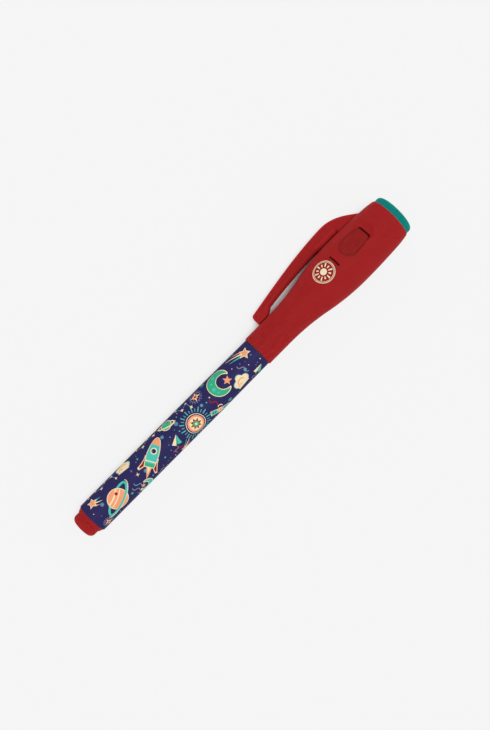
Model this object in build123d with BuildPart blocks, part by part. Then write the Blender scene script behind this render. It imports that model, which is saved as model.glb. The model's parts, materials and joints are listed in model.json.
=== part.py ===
from build123d import *
from math import asin, atan2, cos, degrees, hypot, radians, sin
import os

# An invisible-ink pen with an ultraviolet lamp in its cap, in millimetres.
# Every piece is drawn in the pen's own axes: X runs along the pen from its tail to its lamp,
# +Y is the clip's side and +Z the button's side. The last section lays the closed pen on a
# table, where it rests on its barrel, its cap and its clip.

# Fits
press_gap = 0.03  # radial, between pieces pressed or glued together
seat_gap = 0.02  # between ends that rest on one another
cap_fit = 0.05  # radial, cap sliding on the grip
carrier_fit = 0.10  # radial, torch module in the cap
leaf_fit = 0.05  # radial, rolled end of the leaf in its trough
button_gap = 0.12  # round the thumb pad

# Tail plug
knob_radius = 4.2
knob_length = 3.3
knob_dome = 0.4
knob_rounding = 1.6
shoulder_length = 1.6
shoulder_lift = 0.2
shoulder_inset = 0.15
plug_floor = 2.5
plug_spigot_length = 8.0
spigot_lead = 0.4

# Barrel
barrel_radius = 5.24
barrel_front_radius = 5.08
barrel_length = 73.0
barrel_taper_length = 21.3
film_thickness = 0.15
tube_wall = 0.72

# Writing parts
grip_radius = 4.75
grip_length = 11.4
grip_step_length = 0.6
cone_rear_radius = 3.5
cone_front_radius = 2.1
cone_length = 7.6
section_spigot_length = 12.0
section_socket_depth = 6.0
reservoir_radius = 3.3
jacket_wall = 0.15
nib_radius = 1.25
nib_reach = 4.0
nib_point_length = 1.6
nib_point_radius = 0.35
nib_depth = 6.0

# Cap shell
cap_seat_gap = 0.10
neck_wall = 0.65
neck_length = 9.6
flare_length = 30.9
head_wall = 2.39
head_fall = 0.44
nose_length = 4.16
nose_step = 0.35
mouth_rounding = 0.4

# Clip, moulded in one with the shell
clip_length = 47.8
clip_setback = 5.0
clip_root_width = 5.0
clip_tip_width = 3.2
clip_rounding = 0.6
clip_crest_rise = 5.26
clip_crest_lead = 1.0
clip_crest_angle = 2.0
clip_tip_height = 3.7
clip_tip_angle = 9.5
clip_root_angle = 40.0
clip_root_sink = 0.5
clip_foot_length = 3.9
clip_foot_gap = 0.17
clip_foot_height = 2.17
clip_foot_rounding = 1.0
clip_toe_rounding = 0.6
clip_tip_rounding = 1.0
clip_slot_angle = 9.0
clip_slot_end = 9.2
clip_slot_rise = 2.38
clip_slot_rounding = 0.5
clip_root_depth = 2.0

# Seal cup for the nib
seal_gap = 0.15
nib_tip_room = 0.5
cup_floor = 1.3
cup_flange = 1.0
cup_mouth_gap = 0.5

# Button cells and their contacts
cell_names = ("cell_rear", "cell_middle", "cell_front")
cell_radius = 3.95
cell_height = 3.6
cell_cap_radius = 3.2
cell_cap_height = 0.3
cell_rounding = 0.25
spring_length = 1.9
spring_radius = 2.0
spring_wire = 0.35
spring_pitch = 0.75
strip_thickness = 0.25
strip_width = 2.5
strip_pad = 5.2
strip_front_lap = 1.2
contact_thickness = 0.25
contact_width = 9.0
contact_drop = 3.0
contact_rise = 1.6

# Lamp
led_radius = 2.5
led_length = 8.6
led_flange_radius = 2.9
led_flange_length = 1.0
led_flat = 0.35
led_recess = 1.1
lead_width = 0.5
lead_pitch = 2.54
anode_lead_length = 6.7
cathode_lead_length = 3.1

# Carrier of the torch module
cell_clearance = 0.15
carrier_wall = 1.9
carrier_end_gap = 0.10
carrier_rear_wall = 1.0
carrier_rim = 2.2
switch_bay = 12.6
block_overhang = 1.3
flange_room = 0.8
flange_drop = 1.4

# Light bezel
bezel_lip = 1.05
bezel_lip_length = 2.58
bezel_spigot_length = 3.4
bezel_rounding = 1.0
bezel_rim = 0.6
bezel_dish = 2.4
led_hole_gap = 0.08

# Switch
pad_offset = 0.3
pad_length = 9.3
pad_width = 6.2
pad_front_width = 4.6
pad_corner = 0.7
pad_dish = 0.40
pad_dish_radius = 13.0
front_slot = 0.8
scoop_depth = 1.0
scoop_radius = 6.2
slit_distance = 3.4
slit_length = 0.6
slit_width = 4.3
barb_thickness = 0.35
barb_gap = 0.05
barb_height = 1.0
flange_gap = 0.15
flange_thickness = 0.75
flange_lap = 0.8
flange_side_lap = 0.7
nub_radius = 0.8
nub_gap = 0.15
nub_distance = 9.6
leaf_thickness = 0.2
leaf_width = 2.4
leaf_length = 7.7
leaf_roll_radius = 0.3
leaf_setback = 0.5
leaf_travel = 1.0
dimple_distance = 7.0
dimple_depth = 0.5
trough_wall = 0.25
trough_mouth = 60.0

# Screw that locks the torch module in
screw_head_radius = 1.5
screw_head_height = 1.0
screw_radius = 0.85
screw_grip = 2.6
screw_seat_wall = 0.9
screw_gap = 0.1
screw_slot = 0.4
screw_slot_depth = 0.5

# Radii that follow from the fits
tube_radius = barrel_radius - film_thickness - press_gap
tube_front_radius = barrel_front_radius - film_thickness - press_gap
tube_bore = tube_radius - tube_wall
jacket_bore = reservoir_radius + press_gap
jacket_radius = jacket_bore + jacket_wall
socket_radius = jacket_radius + press_gap
spigot_radius = tube_bore - press_gap
cap_bore = grip_radius + cap_fit
neck_radius = cap_bore + neck_wall
carrier_bore = cell_radius + cell_clearance
carrier_radius = carrier_bore + carrier_wall
head_bore = carrier_radius + carrier_fit
head_radius = head_bore + head_wall
bezel_radius = head_bore + bezel_lip
nose_radius = bezel_radius + nose_step

# Stations along the pen, from the tail
barrel_rear = knob_length + shoulder_length
barrel_front = barrel_rear + barrel_length
taper_start = barrel_front - barrel_taper_length
plug_floor_x = barrel_rear + plug_floor
plug_end = barrel_rear + plug_spigot_length
section_rear = barrel_front - section_spigot_length
socket_floor_x = section_rear + section_socket_depth
grip_front = barrel_front + grip_length
cone_rear = grip_front + grip_step_length
cone_front = cone_rear + cone_length
nib_tip = cone_front + nib_reach
nib_rear = socket_floor_x - nib_depth
mouth = barrel_front + cap_seat_gap
cup_rear = cone_rear + cup_mouth_gap
cup_floor_x = nib_tip + nib_tip_room
cup_front = cup_floor_x + cup_floor
cap_shoulder = cup_front - cup_flange
carrier_rear = cup_front + carrier_end_gap
carrier_inside = carrier_rear + carrier_rear_wall
strip_rear = carrier_inside + seat_gap
spring_rear = strip_rear + strip_thickness + seat_gap
cells_rear = spring_rear + spring_length + seat_gap
cells_front = cells_rear + len(cell_names) * cell_height
contact_rear = cells_front + seat_gap
contact_front = contact_rear + contact_thickness
pad_rear = cells_front + pad_offset
pad_front = pad_rear + pad_length
slit = pad_rear - slit_distance
led_base = contact_front + switch_bay
led_tip = led_base + led_length
pen_front = led_tip + led_recess
cap_front = pen_front - bezel_lip_length
bezel_rear = cap_front - bezel_spigot_length
carrier_front = bezel_rear - carrier_end_gap
block_rear = led_base - block_overhang
neck_end = mouth + neck_length
widest = neck_end + flare_length
nose_start = cap_front - nose_length
flange_radius = head_bore - flange_gap
flange_bore = flange_radius - flange_thickness
flange_half = pad_width / 2 + flange_side_lap
flange_rear = pad_rear - flange_lap
flange_front = pad_front + front_slot + flange_lap
flange_middle = (flange_radius + flange_bore) / 2
button_pivot_height = flange_middle + barb_height
leaf_pivot = contact_front + leaf_setback
leaf_height = (lead_pitch + lead_width + leaf_thickness) / 2 + leaf_travel + dimple_depth
strip_floor = -(carrier_bore + seat_gap + strip_thickness)
screw_station = (led_base + led_flange_length + carrier_front) / 2


def outline(*points):
    """The face inside a closed outline of (station, radius) points."""
    with BuildSketch() as face:
        with BuildLine():
            Polyline(*points, close=True)
        make_face()
    return face.sketch


def pad_outline(margin, reach):
    """The thumb pad seen from above, grown by margin all round and by reach at its front."""
    half = pad_width / 2 + margin
    front_half = pad_front_width / 2 + margin
    rear = pad_rear - margin
    front = pad_front + reach
    with BuildSketch() as face:
        with BuildLine():
            ThreePointArc((rear + half, -half), (rear, 0), (rear + half, half))
            TangentArc((rear + half, half), (front, front_half), tangent=(1, 0))
            Line((front, front_half), (front, -front_half))
            TangentArc((rear + half, -half), (front, -front_half), tangent=(1, 0))
        make_face()
        fillet(face.vertices().group_by(Axis.X)[-1], pad_corner)
    return face.sketch


# Tail plug: a domed knob, a shoulder and a hollow spigot that holds the reservoir's end
with BuildPart() as end_plug:
    with BuildSketch() as knob_face:
        with BuildLine():
            knob_end = ThreePointArc(
                (knob_dome, -knob_radius), (0, 0), (knob_dome, knob_radius)
            )
            Polyline(
                knob_end @ 1, (knob_length, knob_radius), (knob_length, -knob_radius), knob_end @ 0
            )
        make_face()
        fillet(knob_face.vertices().group_by(Axis.X)[0], knob_rounding)
        split(bisect_by=Plane.XZ)
    revolve(axis=Axis.X)
    revolve(
        outline(
            (knob_length, 0),
            (knob_length, knob_radius + shoulder_lift),
            (barrel_rear, barrel_radius - shoulder_inset),
            (barrel_rear, spigot_radius),
            (plug_end - spigot_lead, spigot_radius),
            (plug_end, spigot_radius - spigot_lead),
            (plug_end, socket_radius),
            (plug_floor_x, socket_radius),
            (plug_floor_x, 0),
        ),
        axis=Axis.X,
    )

# Barrel: the tube, and the printed film glued round it
with BuildPart() as barrel_tube:
    revolve(
        outline(
            (barrel_rear, tube_bore),
            (barrel_rear, tube_radius),
            (taper_start, tube_radius),
            (barrel_front, tube_front_radius),
            (barrel_front, tube_bore),
        ),
        axis=Axis.X,
    )

with BuildPart() as barrel_wrap:
    revolve(
        outline(
            (barrel_rear, barrel_radius - film_thickness),
            (barrel_rear, barrel_radius),
            (taper_start, barrel_radius),
            (barrel_front, barrel_front_radius),
            (barrel_front, barrel_front_radius - film_thickness),
            (taper_start, barrel_radius - film_thickness),
        ),
        axis=Axis.X,
    )

# Writing parts: section, nib, reservoir and the jacket round it
with BuildPart() as nib_section:
    nib_hole = nib_radius + press_gap
    revolve(
        outline(
            (section_rear, socket_radius),
            (section_rear, spigot_radius - spigot_lead),
            (section_rear + spigot_lead, spigot_radius),
            (barrel_front, spigot_radius),
            (barrel_front, grip_radius),
            (grip_front, grip_radius),
            (cone_rear, cone_rear_radius),
            (cone_front, cone_front_radius),
            (cone_front, nib_hole),
            (socket_floor_x, nib_hole),
            (socket_floor_x, socket_radius),
        ),
        axis=Axis.X,
    )

with BuildPart() as nib:
    with BuildSketch():
        with BuildLine():
            Polyline(
                (nib_tip, 0), (nib_rear, 0), (nib_rear, nib_radius), (nib_tip - nib_point_length, nib_radius)
            )
            point_side = TangentArc(
                (nib_tip - nib_point_length, nib_radius), (nib_tip, nib_point_radius), tangent=(1, 0)
            )
            Line(point_side @ 1, (nib_tip, 0))
        make_face()
    revolve(axis=Axis.X)

reservoir_rear = plug_floor_x + seat_gap
reservoir_front = socket_floor_x - seat_gap
with BuildPart() as ink_reservoir:
    nib_socket = nib_radius + press_gap
    revolve(
        outline(
            (reservoir_rear, 0),
            (reservoir_rear, reservoir_radius),
            (reservoir_front, reservoir_radius),
            (reservoir_front, nib_socket),
            (nib_rear - seat_gap, nib_socket),
            (nib_rear - seat_gap, 0),
        ),
        axis=Axis.X,
    )

with BuildPart() as reservoir_jacket:
    revolve(
        outline(
            (reservoir_rear, jacket_bore),
            (reservoir_rear, jacket_radius),
            (reservoir_front, jacket_radius),
            (reservoir_front, jacket_bore),
        ),
        axis=Axis.X,
    )

# Cap: the turned shape of its outside, shared by the shell and by the top of the button
with BuildPart() as cap_form:
    with BuildSketch() as cap_face:
        with BuildLine():
            neck = Line((mouth, neck_radius), (neck_end, neck_radius))
            flare_middle = ((neck_end + widest) / 2, (neck_radius + head_radius) / 2)
            hollow = TangentArc(neck @ 1, flare_middle, tangent=(1, 0))
            swell = TangentArc(hollow @ 1, (widest, head_radius), tangent=hollow % 1)
            head = TangentArc(swell @ 1, (nose_start, head_radius - head_fall), tangent=swell % 1)
            nose = TangentArc(head @ 1, (cap_front, nose_radius), tangent=head % 1)
            Polyline(nose @ 1, (cap_front, 0), (mouth, 0), neck @ 0)
        make_face()
        fillet(cap_face.vertices().group_by(Axis.X)[0].sort_by(Axis.Y)[-1], mouth_rounding)
    revolve(axis=Axis.X)

# Clip: its side view, narrowed from root to tip, with rounded edges
clip_root = cap_front - clip_setback
clip_tip = clip_root - clip_length
clip_crest = head_radius + clip_crest_rise
foot_end = clip_tip + clip_foot_length
foot = neck_radius + clip_foot_gap
foot_top = neck_radius + clip_foot_height
foot_rounding = min(clip_foot_rounding, 0.55 * (foot_top - foot))
toe_rounding = min(clip_toe_rounding, 0.35 * (foot_top - foot))
root_height = head_radius - head_fall - clip_root_sink
root_floor = root_height - clip_root_depth
slot_end = clip_root - clip_slot_end
slot_top = root_height + clip_slot_rise
slot_rounding = min(clip_slot_rounding, 0.45 * (slot_top - head_radius))
with BuildPart() as clip:
    with BuildSketch() as clip_face:
        with BuildLine():
            tip_tangent = (cos(radians(clip_tip_angle)), sin(radians(clip_tip_angle)))
            root_tangent = (cos(radians(clip_root_angle)), -sin(radians(clip_root_angle)))
            slot_tangent = (cos(radians(clip_slot_angle)), sin(radians(clip_slot_angle)))
            tip_top = (clip_tip, neck_radius + clip_tip_height)
            crest = (widest + clip_crest_lead, clip_crest)
            crest_tangent = (cos(radians(clip_crest_angle)), sin(radians(clip_crest_angle)))
            arm = Spline(tip_top, crest, tangents=[tip_tangent, crest_tangent])
            bow = Spline(arm @ 1, (clip_root, root_height), tangents=[crest_tangent, root_tangent])
            slot = TangentArc((foot_end, foot_top), (slot_end, slot_top), tangent=slot_tangent)
            Polyline(bow @ 1, (clip_root, root_floor), (slot_end, root_floor), slot @ 1)
            Polyline(slot @ 0, (foot_end, foot), (clip_tip, foot), tip_top)
        make_face()
        corners = clip_face.vertices()
        tip_corners = corners.group_by(Axis.X)[0]
        fillet(tip_corners.sort_by(Axis.Y)[-1], clip_tip_rounding)
        fillet(clip_face.vertices().sort_by_distance((slot_end, slot_top))[0], slot_rounding)
        fillet(clip_face.vertices().sort_by_distance((foot_end, foot_top))[0], foot_rounding)
        fillet(clip_face.vertices().sort_by_distance((foot_end, foot))[0], toe_rounding)
    extrude(amount=clip_root_width / 2, both=True)
    with BuildSketch(Plane.XZ):
        with BuildLine():
            Polyline(
                (clip_tip, -clip_tip_width / 2),
                (clip_root, -clip_root_width / 2),
                (clip_root, clip_root_width / 2),
                (clip_tip, clip_tip_width / 2),
                close=True,
            )
        make_face()
    extrude(amount=-2 * clip_crest, mode=Mode.INTERSECT)
    side_faces = clip.faces().filter_by(lambda face: abs(face.normal_at().Z) > 0.9)
    fillet(side_faces.edges(), clip_rounding)

# Cap shell: the turned form with its clip, bored from both ends
with BuildPart() as cap_shell:
    add(cap_form.part)
    add(clip.part)
    revolve(
        outline(
            (mouth, 0),
            (mouth, cap_bore),
            (cap_shoulder, cap_bore),
            (cap_shoulder, head_bore),
            (cap_front, head_bore),
            (cap_front, 0),
        ),
        axis=Axis.X,
        mode=Mode.SUBTRACT,
    )
    # Window and slit for the button, and the scoop before the window
    extrude(pad_outline(button_gap, front_slot), amount=2 * head_radius, mode=Mode.SUBTRACT)
    with Locations((slit, 0, head_radius)):
        Box(slit_length, slit_width, head_radius, mode=Mode.SUBTRACT)
    with Locations((pad_front + front_slot, 0, head_radius - scoop_depth + scoop_radius)):
        Cylinder(scoop_radius, 2 * head_radius, rotation=(90, 0, 0), mode=Mode.SUBTRACT)
    # Hole and seat for the screw
    with BuildSketch(Plane.XY.offset(-head_bore - screw_seat_wall)):
        with Locations((screw_station, 0)):
            Circle(screw_head_radius + screw_gap)
    extrude(amount=-head_wall, mode=Mode.SUBTRACT)
    with Locations((screw_station, 0, -head_bore)):
        Cylinder(screw_radius + screw_gap, head_wall, mode=Mode.SUBTRACT)

# Seal cup: follows the section's cone at a small gap, with its flange on the cap's shoulder
with BuildPart() as nib_seal_cup:
    cone_fall = (cone_rear_radius - cone_front_radius) / cone_length
    cup_mouth_radius = cone_rear_radius - cone_fall * cup_mouth_gap + seal_gap
    cup_bore = cone_front_radius + seal_gap
    cup_radius = cap_bore - press_gap
    revolve(
        outline(
            (cup_rear, cup_mouth_radius),
            (cup_rear, cup_radius),
            (cap_shoulder, cup_radius),
            (cap_shoulder, head_bore - carrier_fit),
            (cup_front, head_bore - carrier_fit),
            (cup_front, 0),
            (cup_floor_x, 0),
            (cup_floor_x, cup_bore),
            (cone_front, cup_bore),
        ),
        axis=Axis.X,
    )

# Torch module: the carrier
with BuildPart() as module_carrier:
    led_hole = led_radius + led_hole_gap
    led_pocket = led_flange_radius + led_hole_gap
    pocket_front = led_base + led_flange_length + seat_gap
    revolve(
        outline(
            (carrier_rear, 0),
            (carrier_rear, carrier_radius),
            (carrier_front, carrier_radius),
            (carrier_front, led_hole),
            (pocket_front, led_hole),
            (pocket_front, led_pocket),
            (block_rear, led_pocket),
            (block_rear, carrier_bore),
            (carrier_inside, carrier_bore),
            (carrier_inside, 0),
        ),
        axis=Axis.X,
    )
    # Open top over the cells and the switch
    low_to_top = (Align.MIN, Align.CENTER, Align.MIN)
    with Locations((carrier_inside, 0, carrier_rim)):
        Box(
            block_rear - carrier_inside,
            2 * carrier_radius,
            carrier_radius,
            align=low_to_top,
            mode=Mode.SUBTRACT,
        )
    # Relief in the front block, where the front of the button's flange goes down
    with BuildSketch(Plane.YZ.offset(block_rear)):
        Rectangle(
            2 * (flange_half + flange_room), carrier_radius, align=(Align.CENTER, Align.MIN)
        )
        with Locations((0, -flange_drop)):
            Circle(flange_bore, mode=Mode.SUBTRACT)
    extrude(amount=flange_front + flange_room - block_rear, mode=Mode.SUBTRACT)
    # Slot for the plus plate, groove for the minus strip and pilot hole for the screw
    with Locations((contact_rear - seat_gap, 0, -contact_drop - seat_gap)):
        Box(
            contact_thickness + 2 * seat_gap,
            contact_width + 2 * press_gap,
            2 * carrier_radius,
            align=low_to_top,
            mode=Mode.SUBTRACT,
        )
    groove_front = led_base - cathode_lead_length + strip_front_lap + seat_gap
    with Locations((carrier_inside, 0, strip_floor - seat_gap)):
        Box(
            groove_front - carrier_inside,
            strip_width + 2 * press_gap,
            carrier_bore,
            align=low_to_top,
            mode=Mode.SUBTRACT,
        )
    with Locations((screw_station, 0, -carrier_radius)):
        Cylinder(screw_radius + press_gap, 2 * screw_grip, mode=Mode.SUBTRACT)

# Button cells: a rounded can with the smaller minus cap towards the spring
cells = {}
for index, cell_name in enumerate(cell_names):
    cell_back = cells_rear + index * cell_height
    can_rear = cell_back + cell_cap_height
    with BuildPart() as cell:
        with BuildSketch() as can_face:
            with Locations((can_rear, 0)):
                Rectangle(
                    cell_height - cell_cap_height, 2 * cell_radius, align=(Align.MIN, Align.CENTER)
                )
            fillet(can_face.vertices(), cell_rounding)
            split(bisect_by=Plane.XZ)
        revolve(axis=Axis.X)
        revolve(
            outline(
                (cell_back, 0),
                (cell_back, cell_cap_radius),
                (can_rear, cell_cap_radius),
                (can_rear, 0),
            ),
            axis=Axis.X,
        )
    cells[cell_name] = cell

# Spring behind the cells
with BuildPart() as battery_spring:
    with BuildLine() as coil:
        Helix(
            pitch=spring_pitch,
            height=spring_length - spring_wire,
            radius=spring_radius,
            center=(spring_rear + spring_wire / 2, 0, 0),
            direction=(1, 0, 0),
        )
    with BuildSketch(Plane(origin=coil.line @ 0, z_dir=coil.line % 0)):
        Circle(spring_wire / 2)
    sweep()

# Minus strip: a pad behind the spring, bent along the carrier's floor to the lamp's lead
with BuildPart() as return_strip:
    flat_end = (Align.MIN, Align.CENTER, Align.MIN)
    with Locations((strip_rear, 0, -strip_pad / 2)):
        Box(strip_thickness, strip_pad, strip_pad, align=flat_end)
    with Locations((strip_rear, 0, strip_floor)):
        Box(strip_thickness, strip_width, carrier_bore, align=flat_end)
        Box(
            led_base - cathode_lead_length + strip_front_lap - strip_rear,
            strip_width,
            strip_thickness,
            align=flat_end,
        )

# Plus plate: stands in the carrier's slot, with a rolled trough for the leaf on its top
trough_bore = leaf_roll_radius + leaf_fit
trough_radius = trough_bore + trough_wall
with BuildPart() as cell_contact:
    with Locations((contact_rear, 0, -contact_drop)):
        Box(contact_thickness, contact_width, contact_drop + contact_rise, align=flat_end)
        Box(contact_thickness, leaf_width, contact_drop + leaf_height, align=flat_end)
    trough_plane = Plane(origin=(leaf_pivot, 0, leaf_height), x_dir=(1, 0, 0), z_dir=(0, -1, 0))
    with BuildSketch(trough_plane):
        Circle(trough_radius)
        Circle(trough_bore, mode=Mode.SUBTRACT)
        mouth_half = trough_radius * sin(radians(trough_mouth)) / cos(radians(trough_mouth))
        with BuildLine():
            Polyline((0, 0), (trough_radius, mouth_half), (trough_radius, -mouth_half), close=True)
        make_face(mode=Mode.SUBTRACT)
    extrude(amount=leaf_width / 2, both=True)
    with Locations((leaf_pivot, 0, leaf_height)):
        Cylinder(trough_bore, leaf_width, rotation=(90, 0, 0), mode=Mode.SUBTRACT)

# Leaf: rolled at its root, with a dimple that meets the lamp's lead
with BuildPart() as switch_leaf:
    with BuildSketch(trough_plane):
        Circle(leaf_roll_radius)
        with Locations((leaf_length / 2, 0)):
            Rectangle(leaf_length, leaf_thickness)
        with BuildLine():
            dimple_top = -leaf_thickness / 2
            ThreePointArc(
                (dimple_distance - dimple_depth, dimple_top),
                (dimple_distance, dimple_top - dimple_depth),
                (dimple_distance + dimple_depth, dimple_top),
            )
            Line(
                (dimple_distance + dimple_depth, dimple_top), (dimple_distance - dimple_depth, dimple_top)
            )
        make_face()
    extrude(amount=leaf_width / 2, both=True)

# Lamp and its two leads
with BuildPart() as uv_led:
    with BuildSketch():
        with BuildLine():
            Polyline(
                (led_tip, 0),
                (led_base, 0),
                (led_base, led_flange_radius),
                (led_base + led_flange_length, led_flange_radius),
                (led_base + led_flange_length, led_radius),
                (led_tip - led_radius, led_radius),
            )
            RadiusArc((led_tip - led_radius, led_radius), (led_tip, 0), led_radius)
        make_face()
    revolve(axis=Axis.X)
    with Locations((led_base, 0, led_flat - led_flange_radius)):
        Box(
            led_flange_length,
            2 * led_flange_radius,
            led_flat,
            align=(Align.MIN, Align.CENTER, Align.MAX),
            mode=Mode.SUBTRACT,
        )

with BuildPart() as led_anode_lead:
    with Locations((led_base, 0, lead_pitch / 2)):
        Box(
            anode_lead_length, lead_width, lead_width, align=(Align.MAX, Align.CENTER, Align.CENTER)
        )

with BuildPart() as led_cathode_lead:
    lead_end = strip_floor + strip_thickness + seat_gap
    with Locations((led_base, 0, -lead_pitch / 2)):
        Box(
            cathode_lead_length,
            lead_width,
            lead_width,
            align=(Align.MAX, Align.CENTER, Align.CENTER),
        )
    with Locations((led_base - cathode_lead_length, 0, lead_end)):
        Box(lead_width, lead_width, -lead_pitch / 2 - lead_end, align=flat_end)

# Light bezel: a spigot in the cap, a rounded lip and a dished face round the lamp
with BuildPart() as light_bezel:
    bezel_hole = led_radius + led_hole_gap
    rim_inner = bezel_radius - bezel_rounding - bezel_rim
    with BuildSketch() as bezel_face:
        with BuildLine():
            Polyline(
                (bezel_rear, bezel_hole),
                (bezel_rear, head_bore - press_gap),
                (cap_front, head_bore - press_gap),
                (cap_front, bezel_radius),
                (pen_front, bezel_radius),
                (pen_front, rim_inner),
                (pen_front - bezel_dish, bezel_hole),
                close=True,
            )
        make_face()
        fillet(
            bezel_face.vertices().group_by(Axis.X)[-1].sort_by(Axis.Y)[-1], bezel_rounding
        )
    revolve(axis=Axis.X)

# Button: a thumb pad flush with the cap, a flange under the shell, a round-headed barb in the slit
tongue_rear = slit - slit_length
tongue_half = slit_width / 2 - barb_gap
nub_bottom = leaf_height + leaf_thickness / 2 + nub_gap
with BuildPart() as button_flange:
    revolve(
        outline(
            (tongue_rear, flange_bore),
            (tongue_rear, flange_radius),
            (flange_front, flange_radius),
            (flange_front, flange_bore),
        ),
        axis=Axis.X,
    )
    with BuildSketch():
        with BuildLine():
            Polyline(
                (tongue_rear, -tongue_half),
                (flange_rear, -tongue_half),
                (flange_rear, -flange_half),
                (flange_front, -flange_half),
                (flange_front, flange_half),
                (flange_rear, flange_half),
                (flange_rear, tongue_half),
                (tongue_rear, tongue_half),
                close=True,
            )
        make_face()
    extrude(amount=head_radius, mode=Mode.INTERSECT)
    with Locations((slit, 0, flange_middle)):
        Box(
            barb_thickness, 2 * tongue_half, barb_height, align=(Align.CENTER, Align.CENTER, Align.MIN)
        )
    with Locations((slit, 0, button_pivot_height)):
        Cylinder(slit_length / 2 - barb_gap, 2 * tongue_half, rotation=(90, 0, 0))
    with Locations((slit + nub_distance, 0, nub_bottom)):
        Cylinder(
            nub_radius,
            flange_middle - nub_bottom,
            align=(Align.CENTER, Align.CENTER, Align.MIN),
        )

with BuildPart() as switch_button:
    add(cap_form.part)
    extrude(pad_outline(0, 0), amount=2 * head_radius, mode=Mode.INTERSECT)
    with Locations(((pad_rear + pad_front) / 2, 0, head_radius - pad_dish + pad_dish_radius)):
        Sphere(pad_dish_radius, mode=Mode.SUBTRACT)
    with Locations((pad_front, 0, 0)):
        Cylinder(flange_bore, 2 * pad_length, rotation=(0, 90, 0), mode=Mode.SUBTRACT)
    add(button_flange.part)

# Screw in the back of the head
with BuildPart() as head_screw:
    seat = -(head_bore + screw_seat_wall)
    top_down = (Align.CENTER, Align.CENTER, Align.MAX)
    with Locations((screw_station, 0, seat)):
        Cylinder(screw_head_radius, screw_head_height, align=top_down)
    with Locations((screw_station, 0, seat)):
        Cylinder(
            screw_radius,
            screw_seat_wall + carrier_fit + screw_grip - screw_gap,
            align=(Align.CENTER, Align.CENTER, Align.MIN),
        )
    with Locations((screw_station, 0, seat - screw_head_height)):
        Box(2 * screw_radius, screw_slot, 2 * screw_slot_depth, mode=Mode.SUBTRACT)
        Box(screw_slot, 2 * screw_radius, 2 * screw_slot_depth, mode=Mode.SUBTRACT)

# The closed pen on the table: it rolls until its clip touches and pitches until its tail does
edge_half = (
    clip_tip_width + (clip_root_width - clip_tip_width) * (widest - clip_tip) / clip_length
) / 2 - clip_rounding
edge_reach = clip_crest - clip_rounding
roll = asin((head_radius - clip_rounding) / hypot(edge_half, edge_reach)) - atan2(edge_half, edge_reach)
pitch = atan2(head_radius - barrel_radius, widest - barrel_rear)
turned = Rotation(0, -degrees(pitch), 0) * Rotation(-degrees(roll), 0, 0)

pieces = {
    "end_plug": end_plug,
    "barrel_tube": barrel_tube,
    "barrel_wrap": barrel_wrap,
    "nib_section": nib_section,
    "nib": nib,
    "ink_reservoir": ink_reservoir,
    "reservoir_jacket": reservoir_jacket,
    "cap_shell": cap_shell,
    "nib_seal_cup": nib_seal_cup,
    "module_carrier": module_carrier,
    **cells,
    "battery_spring": battery_spring,
    "return_strip": return_strip,
    "cell_contact": cell_contact,
    "switch_leaf": switch_leaf,
    "uv_led": uv_led,
    "led_anode_lead": led_anode_lead,
    "led_cathode_lead": led_cathode_lead,
    "light_bezel": light_bezel,
    "switch_button": switch_button,
    "head_screw": head_screw,
}
boxes = [(turned * piece.part).bounding_box() for piece in pieces.values()]
box_low = [min(values) for values in zip(*(tuple(box.min) for box in boxes))]
box_high = [max(values) for values in zip(*(tuple(box.max) for box in boxes))]
to_origin = Location(
    (-(box_low[0] + box_high[0]) / 2, -(box_low[1] + box_high[1]) / 2, -box_low[2])
)
lying = to_origin * turned

os.makedirs("parts", exist_ok=True)
for label, piece in pieces.items():
    piece.part.move(lying)
    piece.part.label = label
    export_step(piece.part, f"parts/{label}.step")
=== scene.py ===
"""Looks of a capped invisible-ink pen with a lamp in its cap, laid out as a Blender add-on.

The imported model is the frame: its nodes keep their shapes and get their finishes here, and small
pieces are modelled on them, from the print on the barrel to the lamp's inner parts.
"""

import json
import math
import random

import bmesh
import bpy
from bpy.props import FloatProperty, FloatVectorProperty, PointerProperty
from mathutils import Matrix, Vector
from mathutils.bvhtree import BVHTree
from mathutils.geometry import convex_hull_2d


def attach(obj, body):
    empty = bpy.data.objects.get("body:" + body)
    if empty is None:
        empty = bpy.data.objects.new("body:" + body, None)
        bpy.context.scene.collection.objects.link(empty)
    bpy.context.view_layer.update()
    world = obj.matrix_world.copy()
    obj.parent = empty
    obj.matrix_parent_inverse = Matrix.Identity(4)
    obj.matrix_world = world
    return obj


bl_info = {
    "name": "Invisible-ink pen",
    "version": (1, 0, 0),
    "blender": (4, 5, 0),
    "location": "View3D > Sidebar > Pen",
    "description": "Dresses the packed pen with its print, badge, lamp and finishes",
    "category": "Object",
}

MM = 0.001
OUTSIDE = 30  # millimetres from the pen's axis, clear of every piece
SHARP = math.radians(35)  # edges that turn more than this stay sharp

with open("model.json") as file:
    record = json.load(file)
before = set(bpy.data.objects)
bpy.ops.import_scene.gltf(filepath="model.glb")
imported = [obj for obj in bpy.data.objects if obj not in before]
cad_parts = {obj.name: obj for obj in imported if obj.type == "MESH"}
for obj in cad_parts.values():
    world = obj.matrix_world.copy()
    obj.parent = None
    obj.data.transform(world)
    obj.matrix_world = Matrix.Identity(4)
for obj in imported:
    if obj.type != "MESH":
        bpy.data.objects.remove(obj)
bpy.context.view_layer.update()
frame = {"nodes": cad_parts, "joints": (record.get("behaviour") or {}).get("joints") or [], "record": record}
nodes = frame["nodes"]
joints = {joint["name"]: joint for joint in frame["joints"]}
mounts = {mount["name"]: mount for mount in frame["record"]["mounts"]}

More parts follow.
